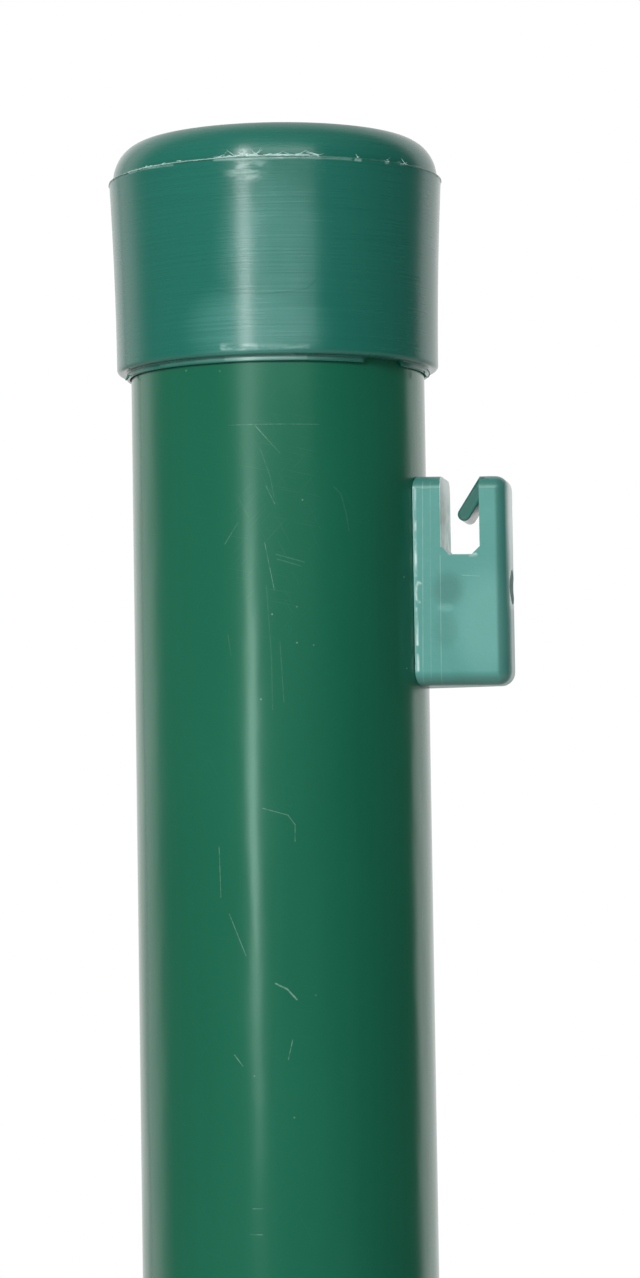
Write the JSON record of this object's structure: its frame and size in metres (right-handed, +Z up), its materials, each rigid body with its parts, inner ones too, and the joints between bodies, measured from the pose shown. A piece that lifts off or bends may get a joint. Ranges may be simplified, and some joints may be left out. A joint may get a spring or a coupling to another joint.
{
  "type": "metal fence post",
  "caption": "Round green steel fence post with a push-on plastic cap and riveted plastic wire holders along one side.",
  "frame": {"origin": "on the tube's axis at its foot, the end that is set in the ground", "axes": "+Z up along the tube's axis, +X towards the wire holders, +Y along the fence wires"},
  "size_m": [0.0518, 0.0434, 1.5029],
  "materials": {
    "tube_coat": "glossy fir-green powder coat with fine scratches",
    "cap_plastic": "semi-gloss green moulded plastic, finely brushed round the skirt",
    "holder_plastic": "satin green moulded plastic",
    "rivet_aluminium": "plain drawn aluminium",
    "mandrel_steel": "bright steel, broken end"
  },
  "bodies": {
    "root": {"post_tube": "tube_coat", "post_cap": "cap_plastic", "wire_holder_top": "holder_plastic", "wire_holder_middle": "holder_plastic", "wire_holder_bottom": "holder_plastic", "rivet_sleeves": "rivet_aluminium", "rivet_pins": "mandrel_steel"}
  },
  "joints": []
}
